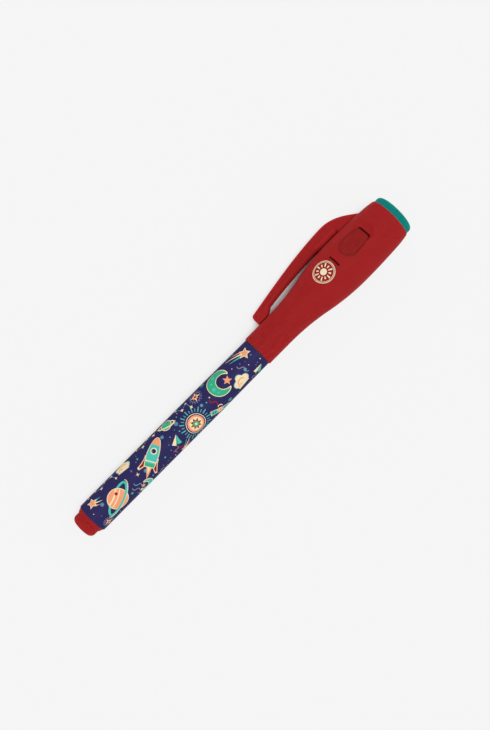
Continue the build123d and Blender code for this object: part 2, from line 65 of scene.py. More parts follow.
# The pen's own axes: X along it from its tail, +Y the clip's side, +Z the button's side
along = Vector(joints["cap_pull"]["axis"]).normalized()
across = Vector(joints["button_press"]["axis"]).normalized()
grip = Vector(mounts["barrel_grip"]["pos_m"])
tail = grip + along * min(along.dot(v.co - grip) for v in nodes["end_plug"].data.vertices)
pen_axes = Matrix((along, across, along.cross(across))).transposed()
pen_to_row = Matrix.Translation(tail) @ pen_axes.to_4x4()
row_to_pen = pen_to_row.inverted()
along_pen = Matrix.Rotation(math.pi / 2, 4, "Y")  # lays along X what is drawn along Z


def pen_points(node):
    """A node's vertices in the pen's axes, in millimetres."""
    return [row_to_pen @ v.co / MM for v in nodes[node].data.vertices]


def reach(points):
    """The first and the last station of some points."""
    stations = [p.x for p in points]
    return min(stations), max(stations)


film_points = pen_points("barrel_wrap")
film_rear, film_front = reach(film_points)
film_radius = mounts["barrel_grip"]["dims"]["r_mm"]
film_front_radius = max(p.yz.length for p in film_points if p.x > film_front - 0.01)
taper_start = film_rear + mounts["barrel_grip"]["dims"]["length_mm"]
view_turn = math.radians(21.0)
facing_side = film_radius * view_turn
lamp_rear = reach(pen_points("uv_led"))[0]
pivot = row_to_pen @ Vector(joints["button_press"]["pos_m"]) / MM


def surface_tree(node):
    """A search tree of a node's faces, in the pen's axes and in millimetres."""
    faces = [tuple(face.vertices) for face in nodes[node].data.polygons]
    return BVHTree.FromPolygons(pen_points(node), faces)


cap_tree = surface_tree("cap_shell")


def linear(hex_colour):
    """A colour written as sRGB hex, in the linear values that Blender's sockets take."""
    parts = [int(hex_colour[i : i + 2], 16) / 255 for i in (1, 3, 5)]
    return tuple(c / 12.92 if c <= 0.04045 else ((c + 0.055) / 1.055) ** 2.4 for c in parts)


def swatch(name, description, hex_colour):
    """A colour that a user can change."""
    return FloatVectorProperty(
        name=name,
        description=description,
        subtype="COLOR",
        default=linear(hex_colour),
        min=0,
        max=1,
    )


def number(name, description, default, **limits):
    """A number that a user can change."""
    return FloatProperty(name=name, description=description, default=default, **limits)


def measure(name, description, millimetres, **limits):
    """A length that a user can change."""
    return number(name, description, millimetres * MM, unit="LENGTH", **limits)


class PenCap(bpy.types.PropertyGroup):
    """Colours of the mouldings, and the badge on the cap."""

    red: swatch("Red plastic", "Colour of the cap and the tail plug", "#A32526")
    # Thumb pad: more coarsely grained than the cap, and a darker red that is painted shade for its dished
    # face
    pad: swatch("Thumb pad", "Colour of the button, with its coarser grain", "#952423")
    teal: swatch("Teal plastic", "Colour of the bezel and the nib section", "#10847C")
    white: swatch("White plastic", "Colour of the inner mouldings", "#E4E3DD")
    badge: swatch("Badge ink", "Colour of the badge on the cap", "#F1DFC0")
    badge_radius: measure("Badge radius", "Radius of the badge's outer ring", 3.7, min=MM)
    badge_station: measure("Badge station", "How far the badge lies from the pen's tail", 109.6)


class PenBarrel(bpy.types.PropertyGroup):
    """Colours of the film and of the inks on it."""

    film: swatch("Film", "Ground colour of the printed film", "#2F2B58")
    ivory: swatch("Ivory ink", "Palest ink of the print", "#F3DFB4")
    coral: swatch("Coral ink", "Warm ink of the print", "#F2A078")
    teal: swatch("Teal ink", "Cool bright ink of the print", "#4FC1B0")
    green: swatch("Green ink", "Green ink of the print", "#3DAE84")
    red: swatch("Red ink", "Dark red ink of the print", "#A2261F")
    sky: swatch("Sky ink", "Grey-blue ink of the thin lines", "#5E94AE")
    mauve: swatch("Mauve ink", "Dusty ink of the faint lines", "#8E7C98")


class PenStage(bpy.types.PropertyGroup):
    """Floor, light and camera."""

    floor: swatch("Floor", "Colour of the floor and of the background", "#F5F5F5")
    shadow: number("Shadow", "How much of the pen's shadow shows on the floor", 0.15, min=0, max=1)
    contact: measure("Contact", "How close to the pen its shadow shows in full", 12, min=0)
    sky: number("Sky light", "Strength of the even light from all round", 0.45, min=0)
    key: number("Key light", "Strength of the soft light from overhead", 1.78, min=0)
    distance: measure("Camera distance", "From the pen's axis to the camera", 353, min=0.1)
    foot: measure("Camera station", "Where along the pen the camera stands square", 60.5)
    aim: measure("Aim station", "Where along the pen the picture has its middle", 72.32)
    side: measure("Aim offset", "Way from the pen's axis to the picture's middle", 0.21)
    turn: number("View turn", "Turn of the view away from the clip", view_turn, subtype="ANGLE")
    slant: number("Slant", "Angle of the pen in the picture", math.radians(45.21), subtype="ANGLE")
    lens: number("Lens", "Focal length in mm, for a picture 36 mm high", 55.4, min=10)


# Materials; grain, dots and fibres that are too fine to show are drawn coarser than they are


def shades(colour, spread):
    """A darker and a lighter shade of a colour."""
    return [(*(min(1, c * (1 + step)) for c in colour), 1) for step in (-spread, spread)]


def add_node(tree, kind, inputs=(), **settings):
    """Adds a node, sets its settings, and sets or links its inputs."""
    made = tree.nodes.new(kind)
    for name, value in settings.items():
        setattr(made, name, value)
    for socket, value in dict(inputs).items():
        if isinstance(value, bpy.types.NodeSocket):
            tree.links.new(value, made.inputs[socket])
        else:
            made.inputs[socket].default_value = value
    return made


class Nodes:
    """The nodes of a material or of the world, in the making."""

    def __init__(self, owner):
        owner.use_nodes = True
        self.tree = owner.node_tree
        self.tree.nodes.clear()

    def add(self, kind, output, inputs=(), **settings):
        """One output of a new node."""
        return add_node(self.tree, kind, inputs, **settings).outputs[output]


class Look(Nodes):
    """A material in the making, with its textures on the object's own coordinates."""

    def __init__(self, name, **constants):
        self.material = bpy.data.materials.new(name)
        super().__init__(self.material)
        inputs = {socket.replace("_", " "): value for socket, value in constants.items()}
        self.shader = add_node(self.tree, "ShaderNodeBsdfPrincipled", inputs)
        surface = {"Surface": self.shader.outputs["BSDF"]}
        self.output = add_node(self.tree, "ShaderNodeOutputMaterial", surface)
        self.place = self.add("ShaderNodeTexCoord", "Object")

    def noise(self, size_mm, detail, shrink=1.0):
        """Noise with details of this size, drawn out along the pen where it is shrunk."""
        place = self.place
        if shrink < 1:
            drawn = {"Vector": place, "Scale": (shrink, 1.0, 1.0)}
            place = self.add("ShaderNodeMapping", "Vector", drawn)
        inputs = {"Vector": place, "Scale": 1 / (size_mm * MM), "Detail": detail}
        return self.add("ShaderNodeTexNoise", "Fac", inputs)

    def blend(self, factor, first, second):
        """A colour between two others."""
        inputs = {"Factor": factor, "A": first, "B": second}
        return self.add("ShaderNodeMix", "Result", inputs, data_type="RGBA")

    def between(self, value, low, high):
        """A value spread over a range."""
        inputs = {"Value": value, "To Min": low, "To Max": high}
        return self.add("ShaderNodeMapRange", "Result", inputs)

    def bumps(self, height, depth_mm, strength, edge_mm=0.0, samples=4):
        """Normals with bumps of this depth, on edges that may be rounded too."""
        inputs = {"Strength": strength, "Distance": depth_mm * MM, "Height": height}
        if edge_mm:
            radius = {"Radius": edge_mm * MM}
            inputs["Normal"] = self.add("ShaderNodeBevel", "Normal", radius, samples=samples)
        return self.add("ShaderNodeBump", "Normal", inputs)

    def done(self, **values):
        """The material, once these values are linked to its shader."""
        for socket, value in values.items():
            self.tree.links.new(value, self.shader.inputs[socket.replace("_", " ")])
        return self.material


def moulded_plastic(
    name, colour, roughness=0.45, grain_mm=0.35, edge_mm=0.2, depth_mm=0.012, scatter=0.7
):
    """Moulded polypropylene: matt, finely grained, a little uneven in tone where the melt flowed.

    Light goes a little way into it, which softens its shaded corners, but not into a thin piece
    that lies on another. The grain of such moulds is about 0.05 mm. Edges are rounded."""
    flow_mm, flow_spread, sheen_spread = 8.0, 0.08, 0.07
    look = Look(
        name,
        IOR=1.49,
        Specular_IOR_Level=0.012,
        Subsurface_Weight=scatter,
        Subsurface_Radius=(1.0, 0.5, 0.5),
        Subsurface_Scale=3.0 * MM,
    )
    flow = look.noise(flow_mm, detail=3.0)
    grain = look.noise(grain_mm, detail=2.0)
    return look.done(
        Base_Color=look.blend(flow, *shades(colour, flow_spread)),
        Roughness=look.between(grain, roughness - sheen_spread, roughness + sheen_spread),
        Normal=look.bumps(grain, depth_mm, strength=0.4, edge_mm=edge_mm, samples=6),
    )


def printed_surface(name, colour, roughness, spread):
    """Screen-printed film or ink: flat and matt, with the slight unevenness of the printing dots.

    Printing dots are about 0.1 mm."""
    dot_mm, cloud_mm, sheen_spread, ink_mm = 0.3, 4.0, 0.06, 0.006
    look = Look(name, IOR=1.5, Specular_IOR_Level=0.02)
    dotted = {"Vector": look.place, "Scale": 1 / (dot_mm * MM)}
    dots = look.add("ShaderNodeTexVoronoi", "Distance", dotted, feature="F1")
    clouds = look.noise(cloud_mm, detail=4.0)
    uneven = look.add("ShaderNodeMath", 0, {0: dots, 1: clouds}, operation="MULTIPLY")
    dark, light = shades(colour, spread)
    return look.done(
        Base_Color=look.blend(uneven, light, dark),
        Roughness=look.between(clouds, roughness - sheen_spread, roughness + sheen_spread),
        Normal=look.bumps(dots, ink_mm, strength=0.25),
    )


def plated_metal(name, hex_colour, roughness):
    """Rolled and plated metal: bright, with fine marks along the strip and cloudy finger marks."""
    mark_mm, cloud_mm, sheen_spread, depth_mm, edge_mm = 0.15, 2.0, 0.1, 0.004, 0.05
    look = Look(name, Metallic=1.0)
    marks = look.noise(mark_mm, detail=3.0, shrink=0.08)
    clouds = look.noise(cloud_mm, detail=3.0)
    return look.done(
        Base_Color=look.blend(clouds, *shades(linear(hex_colour), 0.1)),
        Roughness=look.between(marks, roughness - sheen_spread, roughness + sheen_spread),
        Normal=look.bumps(marks, depth_mm, strength=0.3, edge_mm=edge_mm),
    )


def bundled_fibre(name, hex_colour, fibre_mm):
    """Polyester fibre drawn along the pen: dull white with fine lengthwise streaks.

    The fibres are about 0.02 mm thick."""
    depth_mm = 0.03
    look = Look(name, IOR=1.55, Specular_IOR_Level=0.2, Sheen_Weight=0.15)
    streaks = look.noise(fibre_mm, detail=4.0, shrink=0.05)
    return look.done(
        Base_Color=look.blend(streaks, *shades(linear(hex_colour), 0.09)),
        Roughness=look.between(streaks, 0.7, 0.95),
        Normal=look.bumps(streaks, depth_mm, strength=0.6),
    )


def clear_resin(name, hex_colour, roughness, transmission):
    """Cast epoxy or thin clear film: glassy, a little tinted, with faint clouds from the mould."""
    cloud_mm, sheen_spread = 1.5, 0.06
    look = Look(name, IOR=1.53, Transmission_Weight=transmission)
    clouds = look.noise(cloud_mm, detail=2.0)
    return look.done(
        Base_Color=look.blend(clouds, *shades(linear(hex_colour), 0.03)),
        Roughness=look.between(clouds, roughness, roughness + sheen_spread),
    )


def finish(material, *names):
    """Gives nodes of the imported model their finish."""
    for name in names:
        nodes[name].data.materials.clear()
        nodes[name].data.materials.append(material)


# Pieces of the scene's own


def new_object(name, data):
    """An object in the scene, at the origin."""
    made = bpy.data.objects.new(name, data)
    bpy.context.scene.collection.objects.link(made)
    return made


def new_piece(name, mesh, material, body, normals=None):
    """Makes an object that rides on a body, of a bmesh in the pen's axes and in millimetres."""
    bmesh.ops.recalc_face_normals(mesh, faces=mesh.faces[:])
    mesh.transform(pen_to_row @ Matrix.Scale(MM, 4))
    data = bpy.data.meshes.new(name)
    mesh.to_mesh(data)
    mesh.free()
    data.materials.append(material)
    data.shade_smooth()
    if normals:
        data.normals_split_custom_set_from_vertices(normals)
    else:
        data.set_sharp_from_angle(angle=SHARP)
    piece = new_object(name, data)
    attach(piece, body)


def whole(mesh):
    """All the parts of a mesh."""
    return mesh.verts[:] + mesh.edges[:] + mesh.faces[:]


def verts_of(parts):
    """The vertices among some parts of a mesh."""
    return [part for part in parts if isinstance(part, bmesh.types.BMVert)]


def cone(mesh, first, last, depth, sides, matrix=Matrix()):
    """A closed cone or cylinder, by the radii of its two ends."""
    bmesh.ops.create_cone(
        mesh, cap_ends=True, segments=sides, radius1=first, radius2=last, depth=depth, matrix=matrix
    )


# Flat artwork, drawn in millimetres: X is the station along the pen and Y the way round it


def ways(steps):
    """Shares of the way along a path."""
    return [i / steps for i in range(steps + 1)]


def turned(centre, turn, size=1.0):
    """A function that places a motif's own points on the sheet."""
    c, s = math.cos(turn), math.sin(turn)

    def place(u, v):
        u, v = size * u, size * v
        return Vector((centre[0] + u * c - v * s, centre[1] + u * s + v * c))

    return place


def arc(place, width, height, start, end, steps=28):
    """Points along an arc of an ellipse, from one angle to another in degrees."""
    angles = (math.radians(start + (end - start) * w) for w in ways(steps))
    return [place(width * math.cos(a), height * math.sin(a)) for a in angles]


def wave(place, length, swing, count, steps=36):
    """Points along a wavy stroke."""
    turns = 2 * math.pi * count
    return [place(length * w, swing * math.sin(turns * w)) for w in ways(steps)]


def round_shape(angle):
    """A circle."""
    return 1.0


def star_shape(points, inner):
    """A star with its hollows at a share of its radius; it takes two sides a point."""
    return lambda angle: 1.0 if math.cos(points * angle) > 0 else inner


def cloud_shape(angle):
    """A cloud, puffed on its upper side and flat below."""
    puffs = 0.74 + 0.26 * abs(math.cos(2.5 * angle + 0.6))
    return min(puffs, 0.42 / max(math.sin(angle), 0.001)) if math.sin(angle) > 0 else puffs


class Artwork:
    """Inks laid flat, each in its own mesh, with the layers of ink at slightly rising heights."""

    layer_height = 0.008
    least_width = 0.04
    sunk = 0.03

    def __init__(self):
        self.inks = {}

    def ink(self, name):
        """The mesh of one ink."""
        return self.inks.setdefault(name, bmesh.new())

    def lift(self, point, layer):
        """A point of the sheet at a layer's height."""
        return Vector((point[0], point[1], (layer + 1) * self.layer_height))

    def loop(self, ink, layer, place, radius, shape, sides, filled):
        """A closed outline whose radius follows a shape."""
        made = bmesh.ops.create_circle(self.ink(ink), cap_ends=filled, radius=1, segments=sides)
        for v in made["verts"]:
            angle = math.atan2(v.co.x, v.co.y)
            size = radius * shape(angle)
            v.co = self.lift(place(size * math.cos(angle), size * math.sin(angle)), layer)
        return made["verts"]

    def patch(self, ink, layer, centre, radius, shape=round_shape, turn=0.0, sides=40):
        """A filled shape."""
        self.loop(ink, layer, turned(centre, turn), radius, shape, sides, True)

    def star(self, ink, layer, centre, radius, points, inner, turn):
        """A filled star."""
        self.patch(ink, layer, centre, radius, star_shape(points, inner), turn, 2 * points)

    def ring(self, ink, layer, centre, radius, line, sides=40):
        """A line round a circle."""
        place = turned(centre, 0.0)
        verts = self.loop(ink, layer, place, radius, round_shape, sides, False)
        verts += self.loop(ink, layer, place, radius - line, round_shape, sides, False)
        edges = {edge for v in verts for edge in v.link_edges}
        bmesh.ops.bridge_loops(self.ink(ink), edges=list(edges))

    def ribbon(self, ink, layer, path, width):
        """A stroke along a path; its width is a number, or follows the share of the way along."""
        steps = len(path) - 1
        made = bmesh.ops.create_grid(self.ink(ink), x_segments=steps, y_segments=1, size=1)
        for v in made["verts"]:
            i = round((v.co.x + 1) / 2 * steps)
            way = (path[min(i + 1, steps)] - path[max(i - 1, 0)]).normalized()
            half = max(width(i / steps) if callable(width) else width, self.least_width) / 2
            side = half if v.co.y > 0 else -half
            v.co = self.lift(path[i] + Vector((-way.y, way.x)) * side, layer)

    def line(self, ink, layer, start, end, width):
        """A straight stroke."""
        self.ribbon(ink, layer, [Vector(start).lerp(Vector(end), w) for w in ways(6)], width)

    def repeat_turned(self, centre):
        """Lays the whole artwork once more, turned half round a point."""
        for mesh in self.inks.values():
            verts = verts_of(bmesh.ops.duplicate(mesh, geom=whole(mesh))["geom"])
            half_turn = Matrix.Rotation(math.pi, 3, "Z")
            bmesh.ops.rotate(mesh, verts=verts, cent=(*centre, 0), matrix=half_turn)

    def lay(self, ink, surface, cuts):
        """Gives one ink's mesh its thickness and bends it to a surface; returns it with normals."""
        mesh = self.ink(ink)
        for at, normal in cuts:
            bmesh.ops.bisect_plane(mesh, geom=whole(mesh), dist=1e-5, plane_co=at, plane_no=normal)
        for v in verts_of(bmesh.ops.extrude_face_region(mesh, geom=mesh.faces[:])["geom"]):
            v.co.z = -self.sunk
        normals = []
        for v in mesh.verts:
            v.co, normal = surface(v.co)
            normals.append(pen_axes @ normal)
        return mesh, normals


def film_surface(point):
    """The place on the film, and its normal, for a point of the flat print."""
    fall = max(0.0, (point.x - taper_start) / (film_front - taper_start))
    radius = film_radius + (film_front_radius - film_radius) * fall + point.z
    angle = point.y / film_radius
    normal = Vector((0, -math.sin(angle), math.cos(angle)))
    return Vector((point.x, 0, 0)) + normal * radius, normal


def cap_surface(point):
    """The place on the cap, and its normal, for a point of the flat badge."""
    radius_under_badge = 8.2
    angle = point.y / radius_under_badge
    outward = Vector((0, -math.sin(angle), math.cos(angle)))
    start = Vector((point.x, 0, 0)) + outward * OUTSIDE
    hit, normal, _, _ = cap_tree.ray_cast(start, -outward)
    return hit + normal * point.z, normal


# Motifs of the print


def ringed_planet(art, centre, radius, turn, body, band, ring):
    """A planet with bands and a ring that passes behind and in front of it."""
    place = turned(centre, turn)
    art.ribbon(ring, 1, arc(place, 1.75 * radius, 0.55 * radius, 180, 360), 0.22 * radius)
    art.patch("ivory", 2, centre, radius + 0.26)
    art.patch(body, 3, centre, radius)
    for offset, width in ((-0.55, 0.16), (-0.18, 0.1), (0.5, 0.2)):
        half = math.sqrt(1 - offset**2) * radius - 0.15
        shares = [2 * w - 1 for w in ways(10)]
        path = [place(half * w, radius * (offset + 0.12 * (1 - w * w))) for w in shares]
        art.ribbon(band, 4, path, width * radius)
    art.patch("red", 5, place(0.42 * radius, -0.36 * radius), 0.16 * radius, sides=20)
    art.ribbon(ring, 6, arc(place, 1.75 * radius, 0.55 * radius, 0, 180), 0.22 * radius)
    art.ribbon("ivory", 6, arc(place, 1.98 * radius, 0.68 * radius, -8, 188), 0.07 * radius)


def rocket(art, centre, turn, size):
    """A rocket with fins, a round window, bands and a flame."""
    place = turned(centre, turn, size)
    hull_steps = 24

    def hull(ink, layer, start, end, grow):
        spots = [start + (end - start) * w for w in ways(hull_steps)]
        halves = [1.75 * math.sqrt(max(0.0, 1 - ((u + 0.7) / 6.1) ** 2)) + grow for u in spots]
        path = [place(u, 0) for u in spots]
        art.ribbon(ink, layer, path, lambda w: 2 * size * halves[round(hull_steps * w)])

    for side in (-1, 1):
        path = [place(-1.2 - 4.6 * w, side * (1.0 + 2.1 * w**1.5)) for w in ways(10)]
        art.ribbon("ivory", 1, path, lambda w: size * (2.5 - 1.7 * w))
        art.ribbon("red", 2, path[:-1], lambda w: size * (2.1 - 1.6 * w))
    art.line("coral", 2, place(-3.9, 0), place(-8.2, 0.5), lambda w: size * (2.0 - 1.9 * w))
    art.line("ivory", 3, place(-3.9, 0), place(-6.3, 0.2), lambda w: size * (1.1 - 1.0 * w))
    hull("ivory", 4, -4.4, 5.38, 0.22)
    hull("teal", 5, -4.15, 5.2, 0)
    hull("coral", 6, 2.9, 5.2, 0)
    hull("green", 6, -4.15, -3.1, 0)
    hull("ivory", 6, -2.6, -2.25, 0)
    window = place(0.9, 0)
    art.patch("ivory", 6, window, 1.05 * size)
    art.patch("film", 7, window, 0.72 * size)
    glint = arc(turned(window, turn), 0.45 * size, 0.45 * size, 190, 280, 8)
    art.ribbon("sky", 8, glint, 0.16 * size)


def rayed_sun(art, centre, radius):
    """A sun of nested discs and a star, in a ring of thin rays."""
    rays = 28
    for i in range(rays):
        place = turned(centre, 2 * math.pi * i / rays)
        far = 1.95 if i % 2 else 1.75
        ink = "teal" if i % 2 else "sky"
        art.line(ink, 1, place(1.38 * radius, 0), place(far * radius, 0), 0.3)
    art.ring("ivory", 1, centre, 1.2 * radius, 0.2)
    art.patch("coral", 2, centre, radius)
    art.patch("ivory", 3, centre, 0.78 * radius)
    art.star("red", 4, centre, 0.74 * radius, 8, 0.55, 0.2)
    art.patch("green", 5, centre, 0.36 * radius, sides=28)
    art.patch("ivory", 6, centre, 0.14 * radius, sides=16)


def crescent_moon(art, centre, radius, turn, ink):
    """A crescent moon with an outline and craters, and a star in its hollow."""
    place = turned(centre, turn)
    bow = radius * 0.72

    def swell(w):
        return 0.62 * radius * math.sin(math.pi * w) ** 0.8

    art.ribbon("ivory", 2, arc(place, bow, bow, 38, 322, 44), lambda w: 0.4 + swell(w))
    art.ribbon(ink, 3, arc(place, bow, bow, 44, 316, 44), swell)
    for angle, size in ((150, 0.13), (185, 0.09), (222, 0.12), (120, 0.07)):
        way = math.radians(angle)
        spot = place(bow * math.cos(way), bow * math.sin(way))
        art.patch("teal", 4, spot, size * radius, sides=18)
    art.star("coral", 3, place(0.42 * radius, 0), 0.34 * radius, 5, 0.45, turn)


def puffed_cloud(art, centre, radius, turn):
    """A cloud with an outline and two curls."""
    place = turned(centre, turn)
    art.patch("sky", 4, centre, radius + 0.26, cloud_shape, turn, 60)
    art.patch("ivory", 5, centre, radius, cloud_shape, turn, 60)
    curl = turned(place(-0.35 * radius, 0.18 * radius), turn)
    art.ribbon("coral", 6, arc(place, 0.5 * radius, 0.5 * radius, 200, 330, 16), 0.12 * radius)
    art.ribbon("coral", 6, arc(curl, 0.3 * radius, 0.22 * radius, 190, 340, 12), 0.1 * radius)


def comet(art, centre, radius, turn, length):
    """A star with a tail of three strokes."""
    place = turned(centre, turn)
    for ink, offset, share in (("coral", -0.42, 0.72), ("ivory", 0.0, 1.0), ("teal", 0.42, 0.8)):
        path = [
            place(-length * share * w, radius * (offset * (1 + 0.9 * w) + 0.35 * w * w))
            for w in ways(14)
        ]
        art.ribbon(ink, 1, path, lambda w: 0.4 * radius * (1 - w) + 0.06)
    art.star("ivory", 2, centre, radius * 1.3, 5, 0.5, turn)
    art.star("coral", 3, centre, radius * 0.95, 5, 0.5, turn)


def satellite(art, centre, turn, size):
    """A satellite with two ruled panels and a dish."""
    place = turned(centre, turn, size)
    for side in (-1, 1):
        start, end, rim = side * 1.1, side * 3.6, side * 0.18
        art.line("ivory", 1, place(start - rim, 0), place(end + rim, 0), 1.85 * size)
        art.line("teal", 2, place(start, 0), place(end, 0), 1.5 * size)
        for share in (0.33, 0.67):
            u = start + (end - start) * share
            art.line("film", 3, place(u, -0.75), place(u, 0.75), 0.16 * size)
        art.line("film", 3, place(start, 0), place(end, 0), 0.12 * size)
    art.line("ivory", 2, place(-1.1, 0), place(1.1, 0), 0.3 * size)
    art.line("ivory", 3, place(-0.75, 0), place(0.75, 0), 2.1 * size)
    art.line("coral", 4, place(-0.5, 0), place(0.5, 0), 1.5 * size)
    dish = arc(turned(place(0, -1.6), turn), 0.8 * size, 0.6 * size, 180, 360, 14)
    art.ribbon("ivory", 4, dish, 0.28 * size)


def compass_star(art, centre, radius, turn):
    """A long-pointed star over a short one, in a beaded ring."""
    art.ring("mauve", 0, centre, radius, 0.22)
    beads = 16
    for i in range(beads):
        way = turn + 2 * math.pi * i / beads
        spot = turned(centre, way)(1.2 * radius, 0)
        art.patch("sky", 0, spot, 0.16, sides=10)
    art.star("ivory", 1, centre, 0.95 * radius, 4, 0.3, turn)
    art.star("coral", 2, centre, 0.7 * radius, 4, 0.42, turn + math.pi / 4)
    art.patch("red", 3, centre, 0.2 * radius, sides=20)


def paper_dart(art, centre, turn, size):
    """A folded paper dart with a looping trail."""
    place = turned(centre, turn, size)
    nose = place(2.6, 0)
    art.line("teal", 2, nose, place(-1.4, 1.5), lambda w: 1.7 * size * w)
    art.line("ivory", 3, nose, place(-2.0, -1.1), lambda w: 1.9 * size * w)
    art.line("green", 4, nose, place(-1.5, 0.4), lambda w: 0.9 * size * w)
    trail = [place(-2.4 - 3.2 * w, 0.9 * math.sin(7 * w)) for w in ways(24)]
    art.ribbon("mauve", 0, trail, 0.22)


def star_chart(art, points, ink="sky"):
    """A zigzag of thin lines between small stars."""
    spots = [Vector(point) for point in points]
    for start, end in zip(spots, spots[1:]):
        art.line(ink, 0, start, end, 0.2)
    for i, spot in enumerate(spots):
        art.star("ivory", 1, spot, 0.7 if i % 2 else 0.55, 4, 0.4, 0.4 * i)


def night_sky_print():
    """The print of the barrel: one side's artwork, laid twice."""
    art = Artwork()
    ringed_planet(art, (15.2, 3.5), 3.2, -0.42, "coral", "ivory", "teal")
    rocket(art, (32.6, 1.3), -0.5, 1.0)
    rayed_sun(art, (48.6, 4.3), 2.75)
    crescent_moon(art, (63.2, 0.6), 4.6, 0.5, "green")
    puffed_cloud(art, (67.9, 5.6), 2.9, -0.12)
    comet(art, (74.6, -0.8), 1.6, 0.5, 7.0)
    satellite(art, (57.0, 7.4), 0.5, 0.95)
    ringed_planet(art, (41.6, -2.6), 1.7, 0.4, "green", "teal", "ivory")
    puffed_cloud(art, (22.8, -2.7), 2.7, 0.15)
    crescent_moon(art, (24.2, 7.6), 2.6, -2.2, "teal")
    comet(art, (8.6, -1.4), 1.45, -2.5, 3.4)
    comet(art, (40.6, 8.6), 1.0, 2.6, 4.6)
    compass_star(art, (54.2, -2.3), 1.9, 0.3)
    compass_star(art, (8.0, 7.2), 1.5, 0.1)
    paper_dart(art, (40.6, 3.6), -0.9, 0.75)
    paper_dart(art, (74.4, 6.6), -0.4, 0.7)
    star_chart(art, ((11.4, -4.8), (13.6, -3.2), (15.4, -4.8), (18.2, -4.2), (19.2, -1.8)))
    star_chart(art, ((29.4, -4.6), (31.8, -3.2), (34.2, -4.8), (36.6, -3.6), (38.0, -5.2)), "mauve")
    star_chart(art, ((46.6, -4.6), (48.4, -2.2), (50.6, -3.4), (51.2, -0.6)))
    for ink, centre, turn in (
        ("mauve", (20.6, 4.4), 1.1),
        ("sky", (22.0, 3.6), 1.1),
        ("red", (37.4, 5.6), 0.3),
        ("red", (56.6, 2.0), 1.2),
        ("mauve", (29.2, 7.6), 0.2),
        ("mauve", (70.0, 0.6), 1.1),
    ):
        art.ribbon(ink, 0, wave(turned(centre, turn), 4.2, 0.45, 1.5), 0.3)
    for centre, radius in (
        ((10.6, 1.2), 0.6),
        ((27.4, 3.4), 0.6),
        ((38.2, -0.4), 0.55),
        ((44.2, -0.2), 0.65),
        ((53.8, 1.4), 0.5),
        ((61.4, 7.4), 0.75),
        ((71.2, 3.2), 0.55),
        ((58.2, -4.2), 0.7),
    ):
        art.ring("sky", 0, centre, radius, 0.24, sides=24)
        art.patch("teal", 1, centre, radius * 0.4, sides=16)
    sprinkle(art)
    middle = (film_rear + film_front) / 2
    art.repeat_turned((middle, facing_side + math.pi * film_radius / 2))
    # Where the film's ends lap at the back
    seam = facing_side + math.pi * film_radius
    art.line("film", -0.5, (film_rear, seam), (film_front, seam), 2.0)
    return art


def sprinkle(art):
    """Dots and small stars on the parts of the sheet that are still bare."""
    tries, spacing, margin, low, high = 240, 0.8, 1, -6.2, 10.0
    star_share, star_radius, dot_radius = 0.2, 0.62, 0.17
    taken = [v.co.xy for mesh in art.inks.values() for v in mesh.verts]
    draw = random.Random(11)
    for i in range(tries):
        station = draw.uniform(film_rear + margin, film_front - margin)
        spot = Vector((station, draw.uniform(low, high)))
        kind, size = draw.random(), draw.uniform(0.7, 1.3)
        if min((spot - point).length for point in taken) < spacing:
            continue
        ink = ("sky", "mauve", "teal", "ivory")[i % 4]
        if kind < star_share:
            art.star(ink, 0, spot, star_radius * size, 4, 0.28, kind * 3)
        else:
            art.patch(ink, 0, spot, dot_radius * size, sides=12)
        taken.append(spot)


def light_badge(radius, station):
    """A small sign of a lamp's light: a disc and rays in a double ring."""
    art = Artwork()
    centre, ink, layer = (station, 0), "badge", 2
    art.ring(ink, layer, centre, radius, 0.22, sides=72)
    art.ring(ink, layer, centre, radius - 0.42, 0.14, sides=72)
    art.patch(ink, layer, centre, 0.3 * radius)
    rays = 12
    for i in range(rays):
        place = turned(centre, math.radians(360 / rays * i))
        near, far = 0.43 * radius, (0.78 if i % 2 else 0.66) * radius
        art.line(ink, layer, place(near, 0), place(far, 0), lambda w: 0.3 + 0.22 * w)
    return art


# Steps; the sizes of their pieces are in millimetres


class PEN_OT_mouldings(bpy.types.Operator):
    """Finish the moulded pieces of the cap, the barrel and the nib section."""

    bl_idname = "pen.mouldings"
    bl_label = "Mouldings"

    def execute(self, context):
        cap = context.scene.pen_cap
        finish(moulded_plastic("red_polypropylene", cap.red, edge_mm=0.4), "cap_shell", "end_plug")
        # The button: a real coarser grain and roughness, and the pad's darker red, which is painted shade
        pad = moulded_plastic(
            "grained_red_polypropylene", cap.pad, 0.55, grain_mm=0.5, edge_mm=0.3, depth_mm=0.03
        )
        finish(pad, "switch_button")
        finish(moulded_plastic("teal_polypropylene", cap.teal, 0.4), "light_bezel", "nib_section")
        white = moulded_plastic("white_polypropylene", cap.white, 0.5)
        finish(white, "barrel_tube", "module_carrier")
        seal = moulded_plastic("soft_polyethylene", linear("#DDE3E2"), 0.6, grain_mm=0.6)
        finish(seal, "nib_seal_cup")
        return {"FINISHED"}


